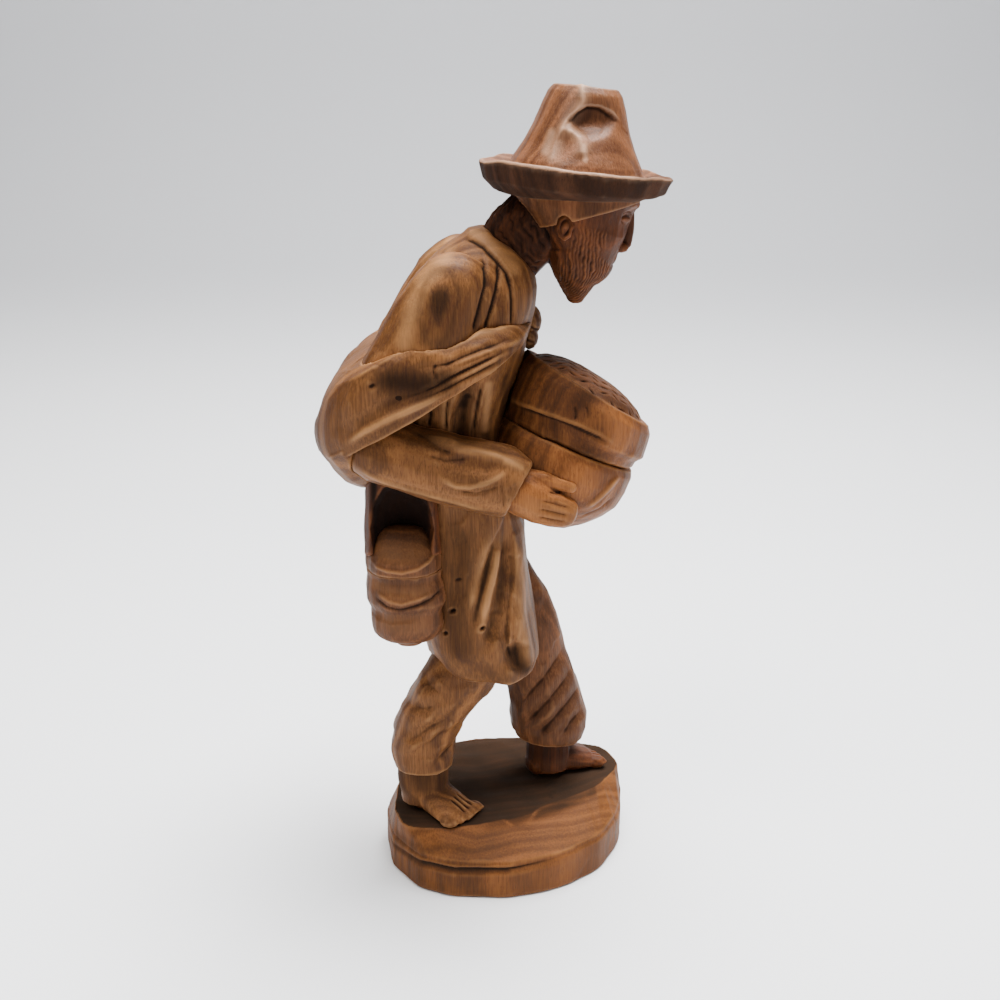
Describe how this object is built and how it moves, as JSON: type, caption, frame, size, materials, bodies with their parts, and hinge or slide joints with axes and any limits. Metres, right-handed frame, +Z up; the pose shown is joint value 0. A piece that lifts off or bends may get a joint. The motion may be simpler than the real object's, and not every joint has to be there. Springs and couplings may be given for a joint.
{
  "type": "wooden folk art figurine",
  "caption": "Carved wooden figurine of a bearded walker in a brimmed hat, with a shawl, a shoulder satchel and a round basket in the arms, on a faceted base.",
  "frame": {"origin": "on the flat underside of the base, below the middle of the figure", "axes": "+X the way the figure walks, +Y to the figure's left, +Z up"},
  "size_m": [0.1032, 0.0694, 0.2452],
  "materials": {
    "tan_wood": "oiled, tan-brown, knife-cut",
    "brown_wood": "oiled, mid brown, knife-cut",
    "orange_wood": "oiled, orange-brown, satin",
    "dark_wood": "stained dark brown, satin",
    "polished_wood": "waxed and rubbed, reddish brown, semi-gloss"
  },
  "bodies": {
    "root": {"base": "orange_wood", "right_foot": "brown_wood", "left_foot": "dark_wood", "right_trouser_leg": "brown_wood", "left_trouser_leg": "brown_wood", "tunic": "tan_wood", "satchel": "brown_wood", "satchel_strap": "dark_wood", "satchel_flap": "brown_wood", "shawl": "tan_wood", "shawl_knot": "tan_wood", "right_upper_sleeve": "tan_wood", "left_upper_sleeve": "tan_wood", "right_forearm_sleeve": "tan_wood", "left_forearm_sleeve": "tan_wood", "right_hand": "orange_wood", "left_hand": "orange_wood", "basket_bowl": "orange_wood", "basket_collar": "orange_wood", "basket_heap": "brown_wood", "head": "dark_wood", "headband": "dark_wood", "hat": "polished_wood"}
  },
  "joints": []
}
